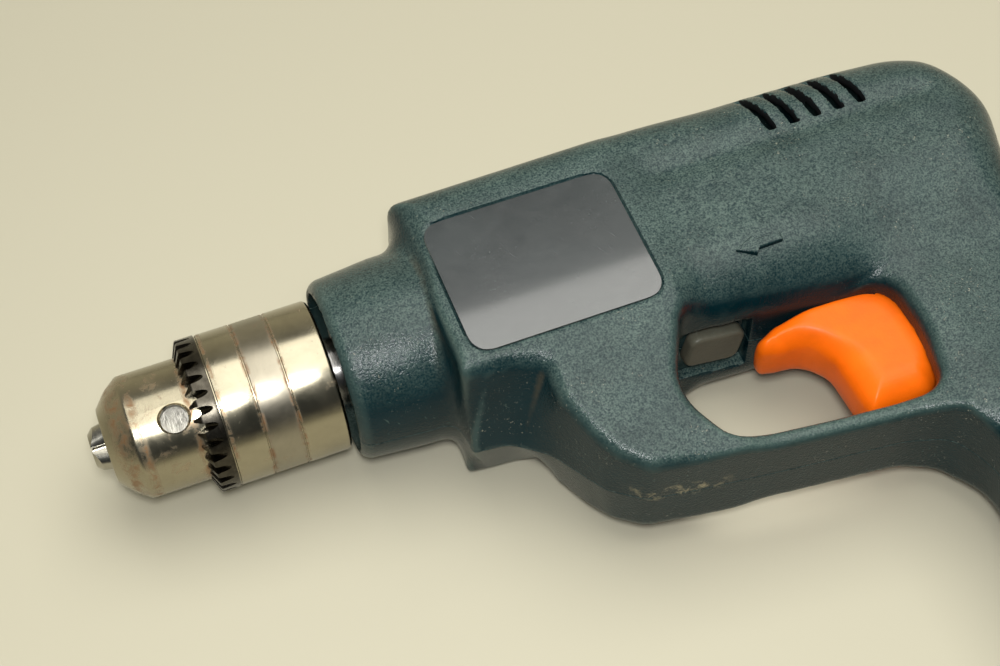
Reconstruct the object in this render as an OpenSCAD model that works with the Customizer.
// Cordless pistol-grip drill with a keyed chuck and a slide-out battery pack.
// The drill lies on its right side, as it is put down on a floor.
// +X runs from the chuck to the rear, +Y to the top of the barrel, +Z to the left side.
// Inside the source X = 0 is the rear groove of the chuck sleeve and the spindle axis is
// Y = 0, Z = 0; placed() moves everything to the middle of the footprint, on the floor.

/* [Chuck] */
// Outer diameter of the chuck sleeve
sleeve_d = 36.5; // [34.5:0.5:38]
// Length of the sleeve, from the tips of its teeth to its rear face
sleeve_l = 30.6; // [29:0.2:33]
// Distance from the sleeve's rear groove to its rear face
sleeve_rear_band = 10.6; // [8:0.2:13]
// Distance between the two grooves of the sleeve
sleeve_mid_band = 8; // [5:0.5:10]
// Number of key teeth on the sleeve
sleeve_teeth = 30; // [20:1:36]
// Length of the toothed ring along the axis
ring_l = 3.5; // [2.5:0.1:4.5]
// Outer diameter of the chuck body
chuck_d = 30.5; // [29.5:0.1:31]
// Length of the chuck body
chuck_l = 53.1; // [50:0.1:56]
// Length of the conical nose of the chuck body
nose_l = 6.5; // [5:0.1:8]
// Diameter of the front face of the chuck body
nose_face_d = 18; // [16:0.5:20]
// Diameter of a key pilot hole
key_hole_d = 6.4; // [6:0.1:6.8]
// Distance from the tooth tips to the centre of a key pilot hole
key_hole_gap = 6.25; // [5.5:0.05:8]
// Turn of the chuck about its axis
chuck_turn = 28; // [0:1:60]
// Diameter of a jaw
jaw_d = 6.2; // [5.8:0.1:6.4]
// Length of a jaw
jaw_l = 34; // [30:0.5:35]
// Angle of the jaws to the axis
jaw_angle = 13; // [12:0.5:13.5]
// How far the jaws stand out of the chuck body
jaw_out = 3.5; // [2:0.1:5]
// Diameter of the bit that the jaws hold as drawn
grip_d = 2.5; // [2:0.1:2.8]

/* [Housing] */
// Gap between the sleeve and the collar of the housing
collar_gap = 1.15; // [0.8:0.05:2]
// Outer diameter of the collar at its front
collar_front_d = 44; // [42:0.5:45]
// Outer diameter of the collar where it meets the barrel
collar_rear_d = 47.6; // [46:0.2:47.8]
// Length of the collar
collar_l = 22; // [20:0.5:24]
// Wall of the collar
collar_wall = 2.8; // [2:0.1:3.5]
// Width of the drill over the housing
body_w = 48; // [47.6:0.2:52]
// Height of the barrel's top above the spindle axis
barrel_top = 31.5; // [31:0.1:34]
// Wall of the housing
wall = 2.5; // [2:0.1:3]
// Length of the barrel behind the collar
barrel_l = 152; // [148:1:158]
// Front of the grip behind the collar's front
grip_x = 131.25; // [130:0.25:133]
// Depth of the grip, front to back
grip_depth = 37; // [36:0.5:39]
// Distance from the spindle axis to the inside of the trigger guard
guard_y = 60.5; // [60:0.1:63]
// Thickness of the trigger guard
guard_t = 4; // [3.5:0.1:5]
// Width of the trigger guard
guard_w = 27; // [25:0.5:30]
// Width of one vent slot
vent_w = 3; // [2:0.1:3.6]
// Distance between vent slots
vent_pitch = 6; // [5:0.1:6.5]
// Number of vent slots on each side
vent_count = 5; // [3:1:6]
// Length of the rating plate
plate_l = 46; // [40:1:48]
// Height of the rating plate
plate_h = 37.3; // [30:0.1:38]
// Thickness of the rating plate
plate_t = 0.8; // [0.6:0.1:1.2]
// Diameter of a housing screw's shank
screw_d = 3; // [2.6:0.1:3.2]
// Diameter of a housing screw's head
screw_head_d = 6; // [5.4:0.1:6.4]

/* [Trigger] */
// Width of the trigger
trigger_w = 18; // [16:0.5:19]
// Travel of the trigger
trigger_travel = 6; // [4:0.5:6.5]
// Diameter of the trigger's plunger
plunger_d = 6; // [5:0.1:7]
// Length of the switch body
switch_l = 25.5; // [22:0.5:25.8]
// Width of the reversing lever
lever_w = 9; // [7:0.5:10]
// Swing of the reversing lever to each side
lever_swing = 12; // [8:1:14]

/* [Drive] */
// Module of the gears
gear_m = 0.8; // [0.76:0.01:0.8]
// Teeth of each sun gear
sun_teeth = 12;
// Teeth of each planet gear
planet_teeth = 15;
// Diameter of the gearbox barrel
gearbox_d = 42.4; // [41.4:0.1:42.4]
// Diameter of the gearbox nose
gearbox_nose_d = 26; // [24:0.5:28]
// Outer diameter of the ring gear
ring_gear_d = 38.4; // [37.6:0.1:39]
// Diameter of the spindle
spindle_d = 12; // [11:0.2:12.6]
// Diameter of the spindle's chuck thread
thread_d = 9.525; // [9:0.025:10]
// Width of the output planets
output_face = 11; // [9:0.5:12]
// Width of the input planets
input_face = 8; // [6:0.5:9]
// Diameter of the planet pins
planet_pin_d = 4; // [3:0.1:4.6]
// Diameter of the motor can
motor_d = 36; // [34:0.2:36.4]
// Length of the motor can
motor_l = 50.5; // [48:0.5:52]
// Diameter of the motor shaft
shaft_d = 3.17; // [3:0.01:3.4]
// Length of the motor's end cap
end_cap_l = 7; // [6:0.5:9]
// Length of each spindle bush
bush_l = 12; // [10:0.5:14]
// Diameter of the spindle bushes
bush_d = 19; // [17:0.5:20]
// Thickness of the carrier plates
carrier_t = 4; // [3:0.2:4.4]
// Thickness of the gearbox cover
cover_t = 6; // [4:0.5:7]

/* [Battery] */
// Diameter of a cell
cell_d = 22.5; // [22:0.1:22.8]
// Length of a cell
cell_l = 43; // [42:0.1:43.4]
// Front of the foot ahead of the grip's front
foot_front = 33; // [26:0.5:34]
// Wall of the battery foot
foot_wall = 2.1; // [1.8:0.05:2.1]
// Thickness of the battery foot's base
base_t = 3; // [2:0.1:4]
// Wall of the battery case
case_wall = 1.1; // [0.9:0.05:1.2]
// Travel of the latch buttons
latch_travel = 1.6; // [1:0.1:2]

/* [Hidden] */
$fn = 64;

eps = 0.01;
// clearances
fit = 0.05;        // running fit, on the radius
slide_gap = 0.3;   // between sliding plastic parts
seat = 0.2;        // between a fixed part and its seat

// ---- stations along the spindle axis
sleeve_rear_x = sleeve_rear_band;
tooth_tip_x = sleeve_rear_x - sleeve_l;
ring_rear_x = tooth_tip_x + ring_l;
chuck_front_x = sleeve_rear_x - chuck_l;
jaw_tip_x = chuck_front_x - jaw_out;
key_x = tooth_tip_x - key_hole_gap;
collar_x = sleeve_rear_x + collar_gap;
barrel_x = collar_x + collar_l;
barrel_rear_x = barrel_x + barrel_l;
grip_front_x = collar_x + grip_x;
grip_back_x = grip_front_x + grip_depth;
grip_mid_x = (grip_front_x + grip_back_x) / 2;

// ---- chuck
sleeve_r = sleeve_d / 2;
chuck_r = chuck_d / 2;
jaw_r = jaw_d / 2;
jaw_hole_r = jaw_r + fit;
jaw_tip_rho = 1.9;
nut_x0 = tooth_tip_x + 6;
nut_x1 = nut_x0 + 7;
nut_d = sleeve_d - 2.5;
groove_r = jaw_rho(nut_x0) + jaw_r - 0.75;
bit_bore_r = 5.2;
bit_bore_end = nut_x1 - 5;
thread_end = nut_x1 - 1;
key_hole_r = key_hole_d / 2;
key_floor = 8.2;
thread_pitch = 1.27;
jaw_open = 3.5;    // how far each jaw draws back from the axis
jaw_back = jaw_open / sin(jaw_angle);
// distance of a jaw's own axis from the spindle axis
function jaw_rho(x) = jaw_tip_rho + (x - jaw_tip_x) * tan(jaw_angle);

// ---- housing
half_w = body_w / 2;
stem_room = 0.6;
cell_room = 0.05;
grip_side = cell_d / 2 + cell_room + case_wall + stem_room + wall;
collar_r0 = collar_front_d / 2;
collar_r1 = collar_rear_d / 2;
plate_x = barrel_x + 6.25;
plate_y = 14.8;
strut_x0 = barrel_x + 23;
strut_x1 = barrel_x + 52;
web_x = barrel_x + 28;
hole_rear_x = grip_front_x - 4;
vent_x = grip_front_x - 14;
shell_bottom = 30;
// screws: x, y, depth of the head below the middle plane
screws = [[barrel_x + 16, 26.2, 15], [barrel_x + 79, 26.4, 15], [barrel_rear_x - 20, 24.4, 14],
    [barrel_x + 37, -44, 12], [grip_front_x + 8, -25.4, 14], [grip_front_x - 3.6, -66, 10]];

// ---- gears and gearbox
ring_teeth = sun_teeth + 2 * planet_teeth;
pressure = 25;
backlash = 0.06;
addendum = 0.75;
dedendum = 0.95;
gear_centre = gear_m * (sun_teeth + planet_teeth) / 2;
ratio_stage = 1 + ring_teeth / sun_teeth;
gearbox_r = gearbox_d / 2;
gearbox_x = collar_x + 2.75;
gearbox_step_x = gearbox_x + 31.5;
bush_r = bush_d / 2;
carrier_r = gear_m * ring_teeth / 2 - 1.5;
out_plate_x = gearbox_step_x + 12.3;
out_face_x = out_plate_x + carrier_t + 0.5;
mid_plate_x = out_face_x + output_face + 2;
in_face_x = mid_plate_x + carrier_t + 0.5;
ring_x0 = out_face_x - 0.5;
ring_x1 = in_face_x + input_face + 3;
cover_x1 = ring_x1 + cover_t;
motor_x = cover_x1 + 0.5;
motor_rear_x = motor_x + motor_l;
motor_r = motor_d / 2;
can_t = 1.3;
magnet_r = motor_r - can_t;
magnet_t = 3.9;
rotor_r = magnet_r - magnet_t - 0.5;

// ---- trigger and switch
trigger_half = trigger_w / 2;
roof_y = -shell_bottom - 0.6;
flange_x = grip_front_x - 0.2;
flange_t = 1.8;
switch_x = grip_back_x - wall - seat - switch_l;
switch_y0 = -32;
switch_h = 22;
plunger_y = -44;
spring_pocket = 6;
lever_x = barrel_x + 67.5;
lever_len = 11.5;
lever_y0 = -24.3;
lever_y1 = -32.5;
lever_pin_r = 1.5;
lever_pin_y = lever_y0 + 1.8;

// ---- battery
cell_r = cell_d / 2;
cell_pitch = cell_d + 0.3;
foot_end_room = 3.3;
foot_l = 4 * cell_pitch + 2 * foot_wall + 2 * foot_end_room;
foot_h = foot_wall + cell_d + 0.4 + base_t;
foot_corner = 7;
stem_top_y = switch_y0 - switch_h - 9.5;
foot_y = stem_top_y - 2 * cell_l - 3.5;
grip_bottom = -foot_y - 0.5;
foot_half = cell_l / 2 + foot_wall + 0.4;
foot_bottom_y = foot_y - foot_h;
foot_x0 = grip_front_x - foot_front;
foot_x1 = foot_x0 + foot_l;
stem_x0 = grip_front_x + wall + 0.7;
stem_x1 = grip_back_x - wall - 0.7;
stem_half = grip_side - wall - stem_room;
latch_y0 = -grip_bottom + 11;
latch_h = 9;
latch_w = 14;
latch_back_x = stem_x0 - 0.2 + latch_travel + 1.3;

// ---- placing
shift_x = -(jaw_tip_x + foot_x1) / 2;
shift_y = -(barrel_top + 1.5 + foot_bottom_y) / 2;
module placed() { translate([shift_x, shift_y, max(half_w, foot_half)]) children(); }

// ================================================================ helpers
// cylinder along X
module xcyl(r, x0, x1) { translate([x0, 0, 0]) rotate([0, 90, 0]) cylinder(r = r, h = x1 - x0); }
// solid of revolution about X from [radius, x] points
module xrev(points) { rotate([0, 90, 0]) rotate_extrude($fn = 96) polygon(points); }
// extrusion along X of a shape drawn in Y, Z
module xext(x0, x1) { translate([x0, 0, 0]) rotate([90, 0, 90]) linear_extrude(x1 - x0) children(); }
// extrusion along Z of a shape drawn in X, Y
module zext(z0, z1) { translate([0, 0, z0]) linear_extrude(z1 - z0) children(); }
// extrusion downwards, from y0 to y1, of a shape drawn in X, Z
module yext(y0, y1) { translate([0, y0, 0]) rotate([90, 0, 0]) linear_extrude(y0 - y1) children(); }
// cylinder along Y, from y0 down to y1
module ycyl(r, x, z, y0, y1) { translate([x, y0, z]) rotate([90, 0, 0]) cylinder(r = r, h = y0 - y1); }
module box(a, b) { translate(a) cube(b - a); }
module rounded(x0, x1, z0, z1, r) {
    translate([x0 + r, z0]) square([x1 - x0 - 2 * r, z1 - z0]);
    translate([x0, z0 + r]) square([x1 - x0, z1 - z0 - 2 * r]);
    for (x = [x0 + r, x1 - r], z = [z0 + r, z1 - r]) translate([x, z]) circle(r);
}
// closed coil along X, as one swept tube
module coil(r, wire, x0, x1, turns, sides = 6, steps = 14) {
    n = turns * steps;
    pts = [for (i = [0:n], k = [0:sides - 1]) let (
            a = 360 * i / steps, b = 360 * k / sides, rr = r + wire / 2 * cos(b))
        [x0 + wire / 2 + (x1 - x0 - wire) * i / n + wire / 2 * sin(b), rr * cos(a), rr * sin(a)]];
    quads = [for (i = [0:n - 1], k = [0:sides - 1]) let (j = (k + 1) % sides)
        [i * sides + k, i * sides + j, (i + 1) * sides + j, (i + 1) * sides + k]];
    first = [for (k = [0:sides - 1]) sides - 1 - k];
    last = [for (k = [0:sides - 1]) n * sides + k];
    polyhedron(pts, concat(quads, [first, last]));
}

// ================================================================ gears
function inv(a) = tan(a) * 180 / PI - a;
// half angle of a tooth at radius r
function tooth_half(z, r, extra) = let (rp = gear_m * z / 2, rb = rp * cos(pressure))
    90 / z + extra / rp * 180 / PI + inv(pressure) - (r > rb ? inv(acos(rb / r)) : 0);
function polar(r, a) = [r * cos(a), r * sin(a)];
function gear_points(z, r0, r1, extra) = let (rb = gear_m * z / 2 * cos(pressure),
        r2 = max(r0, rb), rm = (r2 + r1) / 2)
    [for (i = [0:z - 1], p = [[r0, -1], [r2 + 0.001, -1], [rm, -1], [r1, -1],
            [r1, 1], [rm, 1], [r2 + 0.001, 1], [r0, 1]])
        polar(p[0], 360 * i / z + p[1] * tooth_half(z, p[0], extra))];
// tooth 0 points along +Z
module gear(z, x0, x1, bore_r) {
    rp = gear_m * z / 2;
    xext(x0, x1) difference() {
        rotate(90) polygon(gear_points(z, rp - dedendum * gear_m, rp + addendum * gear_m, -backlash));
        circle(bore_r);
    }
}
module planet_place(k) { rotate([120 * k, 0, 0]) translate([0, 0, gear_centre]) children(); }

// ================================================================ chuck
module chuck_turned() { rotate([chuck_turn, 0, 0]) children(); }
module jaw_frame(k) {
    rotate([60 + 120 * k, 0, 0]) translate([jaw_tip_x, 0, jaw_tip_rho]) rotate([0, -jaw_angle, 0]) children();
}
module chuck_body() color("silver") chuck_turned() difference() {
    xrev([[0, chuck_front_x], [nose_face_d / 2, chuck_front_x],
        [(nose_face_d / 2 + chuck_r) / 2 + 0.6, chuck_front_x + nose_l / 2],
        [chuck_r, chuck_front_x + nose_l], [chuck_r, nut_x0 - seat], [groove_r, nut_x0 - seat],
        [groove_r, nut_x1 + seat], [chuck_r, nut_x1 + seat],
        [chuck_r, sleeve_rear_x - 1], [chuck_r - 1, sleeve_rear_x], [0, sleeve_rear_x]]);
    xcyl(bit_bore_r, chuck_front_x - 1, bit_bore_end);
    xcyl(2.6, bit_bore_end - 1, thread_end + 1);
    xcyl(thread_d / 2, thread_end, sleeve_rear_x + 1);
    for (k = [0:2]) {
        jaw_frame(k) xcyl(jaw_hole_r, -8, jaw_l + jaw_back + 1.4);
        rotate([120 * k, 0, 0]) translate([key_x, 0, 0]) {
            translate([0, 0, key_floor]) cylinder(r = key_hole_r, h = chuck_r);
            translate([0, 0, chuck_r - 0.8]) cylinder(r1 = key_hole_r, r2 = key_hole_r + 1.6, h = 1.6);
        }
    }
}
module chuck_jaw(k) color("lightsteelblue") chuck_turned() difference() {
    intersection() {
        jaw_frame(k) difference() {
            xcyl(jaw_r, -3, jaw_l);
            // thread flanks across the outer side of the rear part
            for (s = [14:thread_pitch:jaw_l - 2]) translate([s, -jaw_r, jaw_r - 0.55])
                rotate([0, 45, 0]) cube([0.7, 2 * jaw_r, 0.7]);
        }
        xrev([[0, jaw_tip_x], [3.9, jaw_tip_x], [23.9, jaw_tip_x + 20],
            [23.9, jaw_tip_x + jaw_l + 10], [0, jaw_tip_x + jaw_l + 10]]);
        rotate([60 + 120 * k, 0, 0]) xext(jaw_tip_x - 1, jaw_tip_x + jaw_l + 5)
            polygon([[0, 0.6], [20 * tan(60), 20.6], [-20 * tan(60), 20.6]]);
    }
    xcyl(grip_d / 2, jaw_tip_x - 1, jaw_tip_x + 15);
}
module chuck_nut() color("dimgray") difference() {
    xcyl(nut_d / 2, nut_x0, nut_x1);
    xrev([[0, nut_x0 - 1], [nut_inner(nut_x0 - 1), nut_x0 - 1], [nut_inner(nut_x1 + 1), nut_x1 + 1],
        [0, nut_x1 + 1]]);
}
function nut_inner(x) = jaw_rho(x) + jaw_r / cos(jaw_angle) + fit;
module chuck_sleeve() color("gainsboro") difference() {
    xrev([[chuck_r + 0.08, tooth_tip_x], [sleeve_r - 2.3, tooth_tip_x], [sleeve_r, ring_rear_x - 0.8],
        [sleeve_r, -sleeve_mid_band - 0.5], [sleeve_r - 0.5, -sleeve_mid_band - 0.5],
        [sleeve_r - 0.5, -sleeve_mid_band + 0.5], [sleeve_r, -sleeve_mid_band + 0.5],
        [sleeve_r, -0.5], [sleeve_r - 0.5, -0.5], [sleeve_r - 0.5, 0.5], [sleeve_r, 0.5],
        [sleeve_r, sleeve_rear_x - 0.8], [sleeve_r - 0.8, sleeve_rear_x], [nut_d / 2, sleeve_rear_x],
        [nut_d / 2, nut_x0], [chuck_r + 0.08, nut_x0]]);
    // bevelled key teeth
    for (i = [0:sleeve_teeth - 1]) rotate([360 * i / sleeve_teeth, 0, 0])
        translate([tooth_tip_x + 1.6, 0, sleeve_r - 4.6]) rotate([0, 40, 0])
            rotate([0, 0, 90]) linear_extrude(9)
                polygon([[-0.35, 0], [0.35, 0], [1.5, 3.6], [-1.5, 3.6]]);
}
module chuck_screw() color("dimgray") {
    difference() {
        xcyl(4.4, bit_bore_end - 3, bit_bore_end);
        xcyl(2, bit_bore_end - 4, bit_bore_end - 1.4, $fn = 6);
    }
    xcyl(2.5, bit_bore_end, thread_end + 12);
}

// ================================================================ drive
module spindle() color("silver") difference() {
    union() {
        xcyl(thread_d / 2, thread_end + 1, sleeve_rear_x);
        xcyl(8.4, sleeve_rear_x, sleeve_rear_x + 3);
        xcyl(spindle_d / 2, sleeve_rear_x, out_plate_x + 1);
        xcyl(carrier_r, out_plate_x, out_plate_x + carrier_t);
        for (k = [0:2]) planet_place(k)
            xcyl(planet_pin_d / 2, out_plate_x, out_face_x + output_face + 0.6);
    }
    xcyl(2.5, thread_end, thread_end + 14);
}
module bush(x0) color("peru") difference() {
    xcyl(bush_r, x0, x0 + bush_l);
    xcyl(spindle_d / 2 + fit, x0 - 1, x0 + bush_l + 1);
}
module gearbox_housing() color("darkgray") xrev([[bush_r, gearbox_x], [gearbox_nose_d / 2 - 1, gearbox_x],
    [gearbox_nose_d / 2, gearbox_x + 1], [gearbox_nose_d / 2, gearbox_step_x - 3],
    [gearbox_nose_d / 2 + 3, gearbox_step_x], [gearbox_r - 1, gearbox_step_x], [gearbox_r, gearbox_step_x + 1],
    [gearbox_r, cover_x1], [ring_gear_d / 2, cover_x1], [ring_gear_d / 2, out_plate_x - 1],
    [bush_r, out_plate_x - 1]]);
module ring_gear() color("gray") xext(ring_x0, ring_x1) difference() {
    circle(ring_gear_d / 2);
    rotate(90) polygon(gear_points(ring_teeth, gear_m * (ring_teeth / 2 - addendum),
        gear_m * (ring_teeth / 2 + dedendum), backlash));
}
module output_planet(k) color("slategray") planet_place(k)
    gear(planet_teeth, out_face_x, out_face_x + output_face, planet_pin_d / 2 + fit);
module input_planet(k) color("slategray") planet_place(k)
    gear(planet_teeth, in_face_x, in_face_x + input_face, planet_pin_d / 2 + fit);
module sun_carrier() color("silver") difference() {
    union() {
        gear(sun_teeth, out_face_x, mid_plate_x + eps, 0);
        xcyl(carrier_r, mid_plate_x, mid_plate_x + carrier_t);
        for (k = [0:2]) planet_place(k)
            xcyl(planet_pin_d / 2, mid_plate_x, in_face_x + input_face + 0.6);
    }
    xcyl(1, out_face_x - 1, mid_plate_x + carrier_t + 1);
}
module gearbox_cover() color("darkgray") difference() {
    xcyl(ring_gear_d / 2, ring_x1, cover_x1);
    xcyl(6.6, ring_x1 - 1, cover_x1 + 1);
}
module motor_pinion() color("gold")
    gear(sun_teeth, in_face_x, in_face_x + input_face + 4, shaft_d / 2);
module motor_can() color("lightgray") difference() {
    union() {
        xcyl(motor_r, motor_x, motor_rear_x);
        xcyl(6.5, motor_x - 3, motor_x);
    }
    xcyl(magnet_r, motor_x + can_t, motor_rear_x + 1);
    xcyl(shaft_d / 2 + fit, motor_x - 4, motor_x + 4);
}
module motor_magnet(k) color("dimgray") rotate([180 * k, 0, 0]) intersection() {
    difference() {
        xcyl(magnet_r, motor_x + 6, motor_rear_x - 9);
        xcyl(magnet_r - magnet_t, motor_x + 5, motor_rear_x - 8);
    }
    xext(motor_x, motor_rear_x) polygon([[0, 0], [30, -24], [30, 24]]);
}
module armature() color("orangered") {
    xcyl(shaft_d / 2, in_face_x - 0.3, motor_rear_x + end_cap_l + 1.5);
    // laminated core with its slots
    xext(motor_x + 10, motor_rear_x - 14) difference() {
        circle(rotor_r);
        for (a = [0:72:359]) rotate(a) translate([rotor_r - 2.2, -1]) square([4, 2]);
        circle(shaft_d / 2);
    }
    // end windings and commutator
    for (x = [[motor_x + 6.5, motor_x + 10], [motor_rear_x - 14, motor_rear_x - 10.5]]) difference() {
        xcyl(rotor_r - 2.2, x[0], x[1]);
        xcyl(shaft_d / 2, x[0] - 1, x[1] + 1);
    }
    difference() {
        xcyl(4.2, motor_rear_x - 4, motor_rear_x + 4.5);
        xcyl(shaft_d / 2, motor_rear_x - 5, motor_rear_x + 5);
    }
}
module motor_fan() color("white") xext(motor_rear_x - 9.5, motor_rear_x - 4.5) difference() {
    union() {
        circle(3.4);
        for (a = [0:40:359]) rotate(a) translate([2.6, -0.5]) square([rotor_r - 4, 1]);
    }
    circle(shaft_d / 2);
}
module motor_end_cap() color("ivory") difference() {
    union() {
        xcyl(motor_r, motor_rear_x, motor_rear_x + end_cap_l);
        xcyl(5, motor_rear_x + end_cap_l - 1, motor_rear_x + end_cap_l + 2.5);
    }
    xcyl(magnet_r - 1, motor_rear_x - 1, motor_rear_x + end_cap_l - 2);
    xcyl(shaft_d / 2 + fit, motor_rear_x, motor_rear_x + end_cap_l + 2);
}
module brush(k) color("black") rotate([180 * k, 0, 0])
    box([motor_rear_x + 0.5, 4.3, -2.2], [motor_rear_x + 4, magnet_r - 1.5, 2.2]);

// ================================================================ housing
// angle of the outward normal where the tangent leaves circle a for circle b, both [z, y, r]
function leave(a, b) = let (d = [b[0] - a[0], b[1] - a[1]])
    atan2(d[1], d[0]) + acos((a[2] - b[2]) / norm(d));
function arc(c, a0, a1, n) = [for (i = [0:n]) let (a = a0 + (a1 - a0) * i / n)
    [c[0] + c[2] * cos(a), c[1] + c[2] * sin(a)]];
// half outline of the barrel, from the middle of the top down the left side, as [z, y]
function barrel_half(s, inset) = let (
        top = [half_w - s[2] - s[6], s[1] - s[2], s[2] - inset],
        low = [half_w - s[4] - s[6], s[3], s[4] - inset],
        belly = [4, s[5], 5 - inset], bend = leave(low, belly))
    concat(arc(top, 90, 0, 8), arc(low, 0, bend, 6), arc(belly, bend, -90, 3));
function barrel_ring(s, x, inset) = let (h = barrel_half(s, inset), n = len(h))
    concat([for (p = h) [x, p[1], p[0]]], [for (i = [n - 1:-1:0]) [x, h[i][1], -h[i][0]]]);
// stations of the barrel: x, top, top radius, height of the lower side arc, its radius,
// height of the belly, and how far the sides are drawn in
stations = [
    [barrel_x, barrel_top - 0.5, 13.5, -22, 4, -27.5, 0],
    [barrel_x + 26, barrel_top + 0.7, 13.5, -22, 4, -26.5, 0],
    [strut_x1 + 2, barrel_top + 1.2, 13.5, -22, 4, -25.5, 0],
    [strut_x1 + 10, barrel_top + 1.4, 13.5, -18, 10, -25, 0],
    [strut_x1 + 20, barrel_top + 1.5, 13.5, -14, 16, -25, 0],
    [grip_front_x - 10, barrel_top + 0.4, 13.5, -12, 16, -24.6, 0],
    [grip_back_x - 14, barrel_top - 1.5, 13.5, -10, 16, -23, 0],
    [barrel_rear_x - 10, barrel_top - 2.9, 13.5, -6, 15, -17, 0],
    [barrel_rear_x - 5.5, barrel_top - 5, 12.5, -3.5, 13.5, -12, 1.2],
    [barrel_rear_x - 2, barrel_top - 8.5, 10.5, -2, 11, -7.5, 3.6],
    [barrel_rear_x, barrel_top - 13, 7.5, -0.5, 8, -3.5, 7]];
module barrel_block(inset) {
    n = len(barrel_half(stations[0], 0)) * 2;
    m = len(stations);
    xs = [for (i = [0:m - 1]) stations[i][0] + (i == 0 ? inset : i > m - 5 ? -inset : 0)];
    pts = [for (i = [0:m - 1], p = barrel_ring(stations[i], xs[i], inset)) p];
    sides = [for (i = [0:m - 2], k = [0:n - 1]) let (j = (k + 1) % n, a = i * n, b = a + n)
        each [[a + k, b + k, b + j], [a + k, b + j, a + j]]];
    polyhedron(pts, concat(sides, [[for (k = [0:n - 1]) k], [for (k = [0:n - 1]) m * n - 1 - k]]));
}
module strut_block(inset) {
    r = 4 - inset;
    hull() {
        for (x = [strut_x0 + 4, strut_x1 - 4])
            translate([x, -21, 0]) cylinder(r = r, h = 2 * (half_w - 2.2 - inset), center = true, $fn = 24);
        for (x = [strut_x0 + 8, strut_x1 + 1])
            translate([x, -guard_y + 5, 0]) cylinder(r = r, h = guard_w - 0.6 - 2 * inset, center = true, $fn = 24);
    }
    // round web under the front of the barrel
    hull() for (z = [-8, 8]) {
        translate([barrel_x + 8, -26, z]) sphere(r = 6 - inset, $fn = 22);
        translate([web_x + 4, -46.7, z / 2]) sphere(r = 6 - inset, $fn = 22);
        translate([web_x + 8, -26, z]) sphere(r = 6 - inset, $fn = 22);
    }
}
module guard_block() {
    r = guard_t / 2;
    hull() for (z = [-1, 1] * (guard_w / 2 - r)) {
        translate([strut_x0 + 8, -guard_y + 3.8, z]) sphere(r = r, $fn = 20);
        translate([strut_x1 - 4, -guard_y + 0.6, z]) sphere(r = r, $fn = 20);
        translate([strut_x1 + 12, -guard_y - 1.2, z]) sphere(r = r, $fn = 20);
        translate([grip_front_x - 8, -guard_y - 4.4, z]) sphere(r = r, $fn = 20);
    }
    hull() for (z = [-1, 1] * (guard_w / 2 - r)) {
        translate([grip_front_x - 11, -guard_y - 4, z]) sphere(r = r, $fn = 20);
        translate([grip_front_x + 4, -guard_y - 2, z]) sphere(r = r, $fn = 20);
        translate([grip_front_x - 2, -guard_y - 10, z]) sphere(r = r, $fn = 20);
        translate([grip_front_x + 4, -guard_y - 22, z]) sphere(r = r, $fn = 20);
    }
}
module grip_block(inset, y0, y1) {
    r = 8 - inset;
    hull() {
        for (x = [[hole_rear_x + inset + r, y0], [hole_rear_x + inset + r, -guard_y + 2]])
            for (s = [-1, 1]) translate([x[0], x[1], s * (grip_side - inset - r)]) rotate([90, 0, 0])
                cylinder(r = r, h = 1, $fn = 32);
        for (y = [y0, -guard_y + 2], s = [-1, 1])
            translate([grip_back_x - inset - r, y, s * (grip_side - inset - r)]) rotate([90, 0, 0])
                cylinder(r = r, h = 1, $fn = 32);
    }
    hull() for (x = [grip_front_x + inset + r, grip_back_x - inset - r], s = [-1, 1])
        translate([x, -30, s * (grip_side - inset - r)]) rotate([90, 0, 0])
            cylinder(r = r, h = -30 - y1, $fn = 32);
}
// flared rim round the mouth for the battery
module grip_rim() hull() for (x = [grip_front_x + 6.5, grip_back_x - 6.5], s = [-1, 1]) {
    translate([x, -grip_bottom + 12, s * (grip_side - 8)]) rotate([90, 0, 0]) cylinder(r = 6, h = 1, $fn = 32);
    translate([x, -grip_bottom + 8, s * (grip_side - 8)]) rotate([90, 0, 0]) cylinder(r = 8.5, h = 8, $fn = 32);
}
module collar_outer() xrev([[0, collar_x], [collar_r0 - 3, collar_x], [collar_r0 - 0.9, collar_x + 0.9],
    [collar_r0, collar_x + 3], [collar_r1, barrel_x + 3], [0, barrel_x + 3]]);
module housing_outer() {
    collar_outer();
    barrel_block(0);
    strut_block(0);
    guard_block();
    grip_block(0, -12, -grip_bottom);
    grip_rim();
}
module housing_cavity() {
    // round mouth for the chuck and the gearbox nose
    xrev([[0, collar_x - 1], [collar_r0 - collar_wall, collar_x - 1],
        [collar_r1 - collar_wall, barrel_x + 4], [0, barrel_x + 4]]);
    barrel_block(wall);
    intersection() {
        strut_block(wall);
        box([strut_x0 + 3, -guard_y + 6, -half_w], [strut_x1 - 3, 0, half_w]);
    }
    // room for the switch, then the straight mouth for the battery stem
    box([grip_front_x - 0.6, trigger_low - 0.6, -grip_side + wall], [grip_back_x - wall, -16, grip_side - wall]);
    box([grip_front_x + wall, -grip_bottom - 1, -grip_side + wall], [grip_back_x - wall, -50, grip_side - wall]);
}
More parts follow.
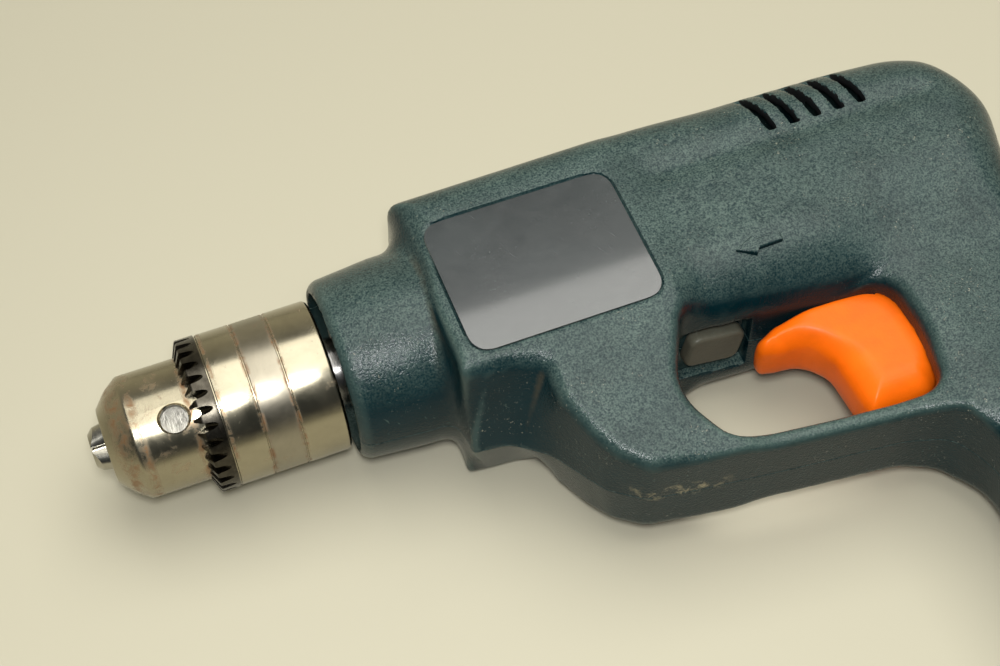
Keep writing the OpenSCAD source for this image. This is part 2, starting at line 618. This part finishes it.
module housing_ribs() {
    // rings that hold the gearbox and the motor
    difference() {
        union() for (x = [gearbox_step_x + 6, cover_x1 - 8, motor_x + 14, motor_rear_x - 8]) intersection() {
            barrel_block(wall - 0.5);
            box([x, -40, -half_w], [x + 2.5, 40, half_w]);
        }
        xcyl(gearbox_r + seat, gearbox_x, cover_x1 + 0.2, $fn = 96);
        xcyl(motor_r + seat, cover_x1 - 1, barrel_rear_x, $fn = 96);
        box([gearbox_x, -21.2, -half_w], [cover_x1 - 10, 21.2, half_w]);
    }
    // floor of the reversing lever's pocket
    box([lever_x - lever_len - 6, -shell_bottom + 1, -13.5], [lever_x + 7, -22, 13.5]);
    for (s = screws) translate([s[0], s[1], -s[2] - 4]) cylinder(r = screw_head_d / 2 + 1.4, h = 2 * s[2] + 10, $fn = 24);
}
module housing_cuts() {
    // pocket and pivot hole of the reversing lever
    box([lever_x - lever_len - 3.4, -shell_bottom - 1, -9.6], [lever_x + 4.3, lever_y0 + slide_gap, 9.6]);
    ycyl(lever_pin_r + 0.12, lever_x, 0, lever_pin_y + 0.2, lever_y0, $fn = 32);
    // mouth for the trigger
    box([hole_rear_x - 2, trigger_low - slide_gap, -trigger_half - slide_gap],
        [grip_front_x + 1, roof_y + slide_gap, trigger_half + slide_gap]);
    // vents over both upper edges of the barrel
    for (i = [0:vent_count - 1], s = [0, 1]) mirror([0, 0, s])
        box([vent_x + i * vent_pitch - vent_w / 2, 14, 10], [vent_x + i * vent_pitch + vent_w / 2, 40, half_w + 1]);
    // notches for the battery's latch buttons
    box([grip_front_x - 4, -grip_bottom - 1, -latch_w / 2 - slide_gap],
        [grip_front_x + wall + 1, latch_y0 + slide_gap, latch_w / 2 + slide_gap]);
    box([grip_back_x - wall - 1, -grip_bottom - 1, -latch_w / 2 - slide_gap],
        [grip_back_x + 4, latch_y0 + slide_gap, latch_w / 2 + slide_gap]);
    for (s = screws) translate([s[0], s[1], 0]) {
        translate([0, 0, -s[2] - 14]) cylinder(r = screw_head_d / 2 + seat, h = 14, $fn = 24);
        translate([0, 0, -s[2] - 1]) cylinder(r = screw_d / 2 + seat, h = s[2] + 1 + 8.6, $fn = 24);
    }
}
module housing_shell() difference() {
    union() {
        difference() {
            housing_outer();
            housing_cavity();
        }
        intersection() {
            housing_outer();
            housing_ribs();
        }
    }
    housing_cuts();
    xcyl(gearbox_r + seat, gearbox_x, cover_x1 + 0.2, $fn = 96);
    xcyl(motor_r + seat, cover_x1 - 1, motor_rear_x + end_cap_l + 1, $fn = 96);
}
module left_housing() color("darkslategray") difference() {
    intersection() {
        housing_shell();
        box([0, -200, 0], [300, 60, 60]);
    }
    zext(half_w - plate_t, half_w + 1)
        translate([plate_x - seat, plate_y - plate_h - seat])
            square([plate_l + 2 * seat, plate_h + 2 * seat]);
}
module right_housing() color("darkslategray") intersection() {
    housing_shell();
    box([0, -200, -60], [300, 60, 0]);
}
module housing_screw(k) color("gray") translate([screws[k][0], screws[k][1], 0]) {
    difference() {
        translate([0, 0, -screws[k][2] - 2.4]) cylinder(r = screw_head_d / 2, h = 2.4);
        for (a = [0, 90]) rotate(a) box([-2.2, -0.5, -screws[k][2] - 3], [2.2, 0.5, -screws[k][2] - 1]);
    }
    translate([0, 0, -screws[k][2]]) cylinder(r = screw_d / 2, h = screws[k][2] + 8);
}
module rating_plate() color("black") zext(half_w - plate_t, half_w)
    rounded(plate_x, plate_x + plate_l, plate_y - plate_h, plate_y, 4.5);

// ================================================================ controls
trigger_low = -guard_y + 1.6;
trigger_front_x = hole_rear_x - 32.5;
trigger_points = [[trigger_front_x + 1.2, roof_y], [trigger_front_x, -33], [trigger_front_x + 2.3, -35.3],
    [trigger_front_x + 8.2, -36.4], [trigger_front_x + 12.2, -39.3], [trigger_front_x + 14.4, -45],
    [trigger_front_x + 15.6, -53], [trigger_front_x + 18.5, trigger_low + 1.5],
    [trigger_front_x + 23, trigger_low], [hole_rear_x + 0.4, trigger_low],
    [hole_rear_x + 0.4, trigger_low + 1.6], [flange_x + 1, trigger_low + 1.6], [flange_x + 1, roof_y]];
module trigger() color("darkorange") {
    zext(-trigger_half, trigger_half) polygon(trigger_points);
    box([flange_x, trigger_low + 1.6, -grip_side + wall + 1], [flange_x + flange_t, roof_y - 0.6, grip_side - wall - 1]);
    translate([0, plunger_y, 0]) xcyl(plunger_d / 2, flange_x, switch_x + 5.5);
}
module trigger_spring() color("silver") translate([0, plunger_y, 0])
    coil(plunger_d / 2 + 1.1, 0.8, flange_x + flange_t, switch_x + spring_pocket, 5);
module switch_body() color("black") difference() {
    box([switch_x, switch_y0 - switch_h, -grip_side + wall + 1.5],
        [switch_x + switch_l, switch_y0, grip_side - wall - 1.5]);
    translate([0, plunger_y, 0]) {
        xcyl(plunger_d / 2 + fit, switch_x - 1, switch_x + 13);
        xcyl(plunger_d / 2 + 2.1, switch_x - 1, switch_x + spring_pocket);
    }
}
module reversing_lever() color("gray") translate([lever_x, 0, 0]) rotate([0, lever_swing, 0]) {
    yext(lever_y0, lever_y1) union() {
        translate([-lever_len, -lever_w / 2]) square([lever_len, lever_w]);
        circle(3.9);
    }
    ycyl(lever_pin_r, 0, 0, lever_pin_y, lever_y0);
}

// ================================================================ battery
module stem_outline(inset) rounded(stem_x0 + inset, stem_x1 - inset, -stem_half + inset, stem_half - inset, 6 - inset);
module foot_outline(inset) rounded(foot_x0 + inset, foot_x1 - inset, -foot_half + inset, foot_half - inset,
    foot_corner - inset);
lid_y = foot_bottom_y + base_t;
module battery_case() color("black") {
  difference() {
    union() {
        yext(stem_top_y, foot_y) stem_outline(0);
        yext(foot_y, foot_y - 2) foot_outline(2);
        yext(foot_y - 2, lid_y) foot_outline(0);
    }
    yext(stem_top_y - case_wall, foot_y - foot_wall) stem_outline(case_wall);
    yext(foot_y - foot_wall, lid_y - 1) foot_outline(foot_wall);
    // pockets behind the latch buttons
    for (s = [0, 1]) latch_side(s)
        box([stem_x0 - 1, latch_y0 - latch_h - slide_gap, -latch_w / 2 - slide_gap],
            [latch_back_x, latch_y0 + slide_gap, latch_w / 2 + slide_gap]);
  }
  // stops behind the springs of the latch buttons
  for (s = [0, 1]) latch_side(s)
    box([latch_back_x, latch_y0 - latch_h - 1, -stem_half + 1.4], [latch_back_x + 1, latch_y0 + 1, stem_half - 1.4]);
}
module battery_base() color("black") {
    yext(lid_y, foot_bottom_y) foot_outline(0);
    // ridges between the cells
    for (k = [-1:1]) let (x = (foot_x0 + foot_x1) / 2 + k * cell_pitch)
        box([x - 1, lid_y - eps, -8], [x + 1, lid_y + 4, 8]);
}
module latch_side(s) translate([2 * grip_mid_x * s, 0, 0]) mirror([s, 0, 0]) children();
function cell_y() = foot_y - foot_wall - cell_r - 0.2;
module battery_cell(k) color("royalblue") {
    if (k < 2) ycyl(cell_r, grip_mid_x, 0, stem_top_y - case_wall - 0.3 - k * cell_l,
        stem_top_y - case_wall - 0.3 - (k + 1) * cell_l + 0.2);
    else translate([(foot_x0 + foot_x1) / 2 + (k - 3.5) * cell_pitch, cell_y(), -cell_l / 2])
        cylinder(r = cell_r, h = cell_l);
}
module battery_contacts() color("gold") for (x = [-7, 7])
    box([grip_mid_x + x - 2, stem_top_y, -6], [grip_mid_x + x + 2, stem_top_y + 1.2, 6]);
module terminal_block() color("dimgray") {
    y1 = stem_top_y + 1.2 + slide_gap;
    box([grip_front_x + wall + seat, y1 + 1, -grip_side + wall + seat],
        [grip_back_x - wall - seat, y1 + 4, grip_side - wall - seat]);
    for (x = [-7, 7]) box([grip_mid_x + x - 1.5, y1, -4], [grip_mid_x + x + 1.5, y1 + 1, 4]);
}
module latch(s) color("darkgray") latch_side(s)
    box([grip_front_x - 3.2, latch_y0 - latch_h, -latch_w / 2], [stem_x0 - 0.2, latch_y0, latch_w / 2]);
module latch_spring(s) color("silver") latch_side(s) translate([0, latch_y0 - latch_h / 2, 0])
    coil(2.2, 0.4, stem_x0 - 0.2, latch_back_x, 3, 6, 12);

placed() left_housing();
placed() right_housing();
for (k = [0:5]) placed() housing_screw(k);
placed() rating_plate();
placed() trigger();
placed() trigger_spring();
placed() switch_body();
placed() reversing_lever();
placed() chuck_body();
placed() chuck_sleeve();
placed() chuck_nut();
for (k = [0:2]) placed() chuck_jaw(k);
placed() chuck_screw();
placed() spindle();
placed() bush(gearbox_x + 1);  // front_bush
placed() bush(out_plate_x - 2 - bush_l);  // rear_bush
placed() gearbox_housing();
placed() ring_gear();
for (k = [0:2]) placed() output_planet(k);
placed() sun_carrier();
for (k = [0:2]) placed() input_planet(k);
placed() gearbox_cover();
placed() motor_can();
for (k = [0:1]) placed() motor_magnet(k);
placed() armature();
placed() motor_pinion();
placed() motor_fan();
placed() motor_end_cap();
for (k = [0:1]) placed() brush(k);
placed() battery_case();
placed() battery_base();
for (k = [0:5]) placed() battery_cell(k);
placed() battery_contacts();
placed() terminal_block();
placed() latch(0);  // latch_front
placed() latch(1);  // latch_rear
placed() latch_spring(0);  // latch_spring_front
placed() latch_spring(1);  // latch_spring_rear
